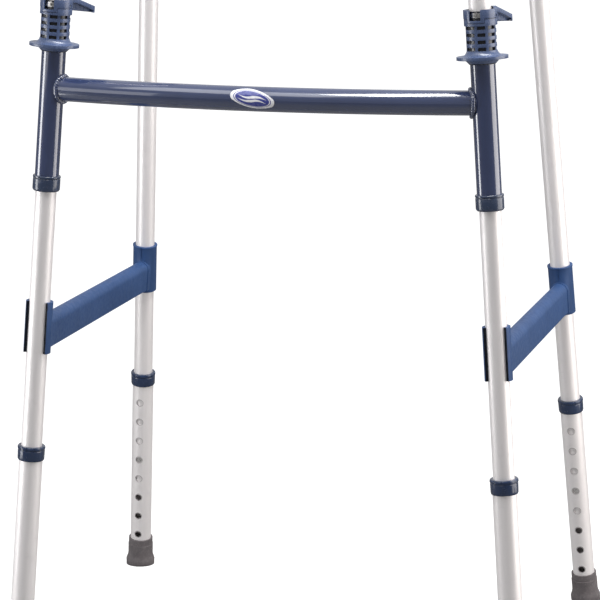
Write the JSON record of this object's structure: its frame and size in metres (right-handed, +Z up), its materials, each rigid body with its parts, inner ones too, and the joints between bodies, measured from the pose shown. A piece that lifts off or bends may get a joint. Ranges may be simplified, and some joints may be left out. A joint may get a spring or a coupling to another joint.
{
  "type": "folding walking frame",
  "caption": "Folding walking frame with a bowed cross tube, two folding inverted-U side frames, push-lever locks, side braces and telescopic feet with rubber tips.",
  "frame": {"origin": "centre of the bounding box, on the floor", "axes": "+Z up, -Y towards the cross tube at the front, +X to the right when seen from the front"},
  "size_m": [0.5984, 0.5081, 0.9226],
  "materials": {
    "painted_steel": "gloss",
    "anodised_tube": "satin",
    "blue_plastic": "satin",
    "unit_plastic": "satin",
    "collar_plastic": "gloss",
    "tip_rubber": "matte",
    "grip_vinyl": "matte",
    "bright_steel": "satin",
    "badge_print": "gloss"
  },
  "bodies": {
    "front_frame": {"cross_tube": "painted_steel", "weld_beads": "painted_steel", "badge": "badge_print", "left_hinge_sleeve": "painted_steel", "left_sleeve_bush": "collar_plastic", "left_release_housing": "unit_plastic", "left_lever_pins": "bright_steel", "left_lock_spring": "bright_steel", "right_hinge_sleeve": "painted_steel", "right_sleeve_bush": "collar_plastic", "right_release_housing": "unit_plastic", "right_lever_pins": "bright_steel", "right_lock_spring": "bright_steel"},
    "left_side_frame": {"left_side_tube": "anodised_tube", "left_hand_grip": "grip_vinyl", "left_side_brace": "blue_plastic", "left_front_button_spring": "bright_steel", "left_rear_button_spring": "bright_steel"},
    "left_lever": {"left_release_lever": "unit_plastic"},
    "left_pin": {"left_lock_pin": "bright_steel"},
    "left_front_foot": {"left_front_extension": "anodised_tube", "left_front_collar": "collar_plastic", "left_front_tip": "tip_rubber"},
    "left_front_snap": {"left_front_button": "bright_steel"},
    "left_rear_foot": {"left_rear_extension": "anodised_tube", "left_rear_collar": "collar_plastic", "left_rear_tip": "tip_rubber"},
    "left_rear_snap": {"left_rear_button": "bright_steel"},
    "right_side_frame": {"right_side_tube": "anodised_tube", "right_hand_grip": "grip_vinyl", "right_side_brace": "blue_plastic", "right_front_button_spring": "bright_steel", "right_rear_button_spring": "bright_steel"},
    "right_lever": {"right_release_lever": "unit_plastic"},
    "right_pin": {"right_lock_pin": "bright_steel"},
    "right_front_foot": {"right_front_extension": "anodised_tube", "right_front_collar": "collar_plastic", "right_front_tip": "tip_rubber"},
    "right_front_snap": {"right_front_button": "bright_steel"},
    "right_rear_foot": {"right_rear_extension": "anodised_tube", "right_rear_collar": "collar_plastic", "right_rear_tip": "tip_rubber"},
    "right_rear_snap": {"right_rear_button": "bright_steel"}
  },
  "joints": [
    {"name": "left_side_fold", "type": "hinge", "parent": "front_frame", "child": "left_side_frame", "pos_m": [-0.2294, -0.2086, 0.644], "axis": [-0.0715, 0, -0.9974], "range_deg": [0, 85]},
    {"name": "left_lever_push", "type": "hinge", "parent": "front_frame", "child": "left_lever", "pos_m": [-0.22314, -0.2086, 0.73128], "axis": [-0.9823, 0.1736, 0.0704], "range_deg": [0, 7], "stiffness_Nm_per_rad": 1.5, "springref_deg": -8.59},
    {"name": "left_pin_slide", "type": "slide", "parent": "front_frame", "child": "left_pin", "axis": [-0.1732, -0.9848, 0.0124], "range_m": [0, 0.002], "deforming": ["left_lock_spring"]},
    {"name": "left_front_foot_slide", "type": "slide", "parent": "left_side_frame", "child": "left_front_foot", "axis": [-0.0715, 0, -0.9974], "range_m": [-0.1016, 0.0762]},
    {"name": "left_front_button_press", "type": "slide", "parent": "left_side_frame", "child": "left_front_snap", "axis": [0.0139, -0.9999, -0.001], "range_m": [0, 0.0035], "stiffness_N_per_m": 800, "springref_m": -0.003, "deforming": ["left_front_button_spring"]},
    {"name": "left_rear_foot_slide", "type": "slide", "parent": "left_side_frame", "child": "left_rear_foot", "axis": [-0.0728, 0.1633, -0.9839], "range_m": [-0.1016, 0.0762]},
    {"name": "left_rear_button_press", "type": "slide", "parent": "left_side_frame", "child": "left_rear_snap", "axis": [-0.0021, 0.9865, 0.1639], "range_m": [0, 0.0035], "stiffness_N_per_m": 800, "springref_m": -0.003, "deforming": ["left_rear_button_spring"]},
    {"name": "right_side_fold", "type": "hinge", "parent": "front_frame", "child": "right_side_frame", "pos_m": [0.2294, -0.2086, 0.644], "axis": [-0.0715, 0, 0.9974], "range_deg": [0, 59]},
    {"name": "right_lever_push", "type": "hinge", "parent": "front_frame", "child": "right_lever", "pos_m": [0.22314, -0.2086, 0.73128], "axis": [-0.9823, 0.1736, -0.0704], "range_deg": [0, 7], "stiffness_Nm_per_rad": 1.5, "springref_deg": -8.59},
    {"name": "right_pin_slide", "type": "slide", "parent": "front_frame", "child": "right_pin", "axis": [-0.1732, -0.9848, -0.0124], "range_m": [0, 0.002], "deforming": ["right_lock_spring"]},
    {"name": "right_front_foot_slide", "type": "slide", "parent": "right_side_frame", "child": "right_front_foot", "axis": [0.0715, 0, -0.9974], "range_m": [-0.1016, 0.0762]},
    {"name": "right_front_button_press", "type": "slide", "parent": "right_side_frame", "child": "right_front_snap", "axis": [-0.0139, -0.9999, -0.001], "range_m": [0, 0.0035], "stiffness_N_per_m": 800, "springref_m": -0.003, "deforming": ["right_front_button_spring"]},
    {"name": "right_rear_foot_slide", "type": "slide", "parent": "right_side_frame", "child": "right_rear_foot", "axis": [0.0728, 0.1633, -0.9839], "range_m": [-0.1016, 0.0762]},
    {"name": "right_rear_button_press", "type": "slide", "parent": "right_side_frame", "child": "right_rear_snap", "axis": [0.0021, 0.9865, 0.1639], "range_m": [0, 0.0035], "stiffness_N_per_m": 800, "springref_m": -0.003, "deforming": ["right_rear_button_spring"]}
  ],
  "couplings": [
    {"joint": "left_pin_slide", "follows": "left_lever_push", "m_per_rad": 0.016},
    {"joint": "right_pin_slide", "follows": "right_lever_push", "m_per_rad": 0.016}
  ]
}
